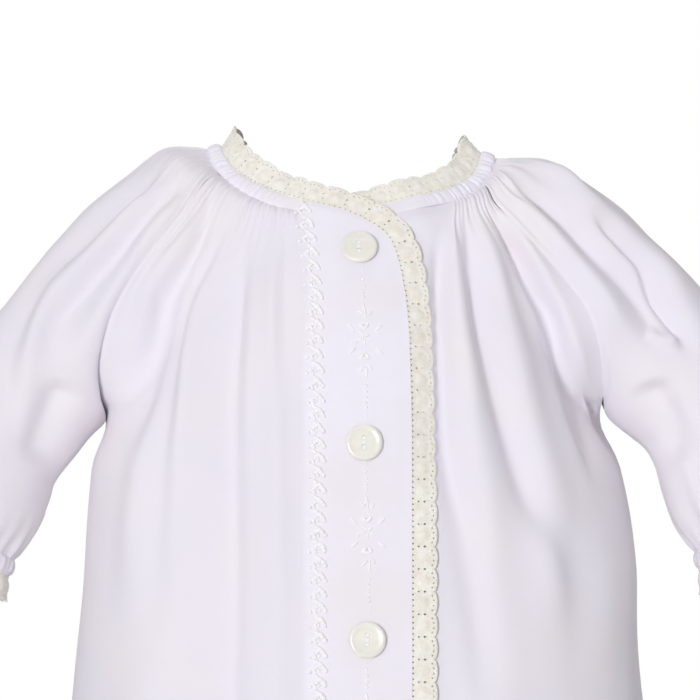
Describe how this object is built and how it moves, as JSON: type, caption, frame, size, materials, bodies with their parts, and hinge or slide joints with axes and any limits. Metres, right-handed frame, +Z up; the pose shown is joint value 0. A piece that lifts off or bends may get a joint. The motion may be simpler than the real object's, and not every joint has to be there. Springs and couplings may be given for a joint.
{
  "type": "baby daygown, worn form",
  "caption": "Hollow long-sleeved raglan daygown for a newborn, gathered at the neck and cuffs, lapped and buttoned down the front, with scalloped eyelet edging.",
  "frame": {"origin": "middle of the neck opening, at the height where the gown rests on the wearer's shoulders", "axes": "+Z up towards the head, the buttoned front faces -Y, and -X is the wearer's right"},
  "size_m": [0.3195, 0.2065, 0.517],
  "materials": {
    "batiste": "fine plain weave, soft and matt",
    "eyelet_cotton": "cream embroidered eyelet, matt",
    "pearl": "polished mother of pearl"
  },
  "bodies": {
    "root": {"front_right": "batiste", "front_left": "batiste", "back": "batiste", "sleeve_right": "batiste", "sleeve_left": "batiste", "casing_right": "batiste", "casing_left": "batiste", "edging_neck_right": "eyelet_cotton", "edging_neck_left": "eyelet_cotton", "edging_lap": "eyelet_cotton", "cuff_casing_right": "batiste", "cuff_casing_left": "batiste", "edging_cuff_right": "eyelet_cotton", "edging_cuff_left": "eyelet_cotton", "button_1": "pearl", "button_2": "pearl", "button_3": "pearl", "button_4": "pearl", "button_5": "pearl", "button_6": "pearl", "button_7": "pearl"}
  },
  "joints": []
}
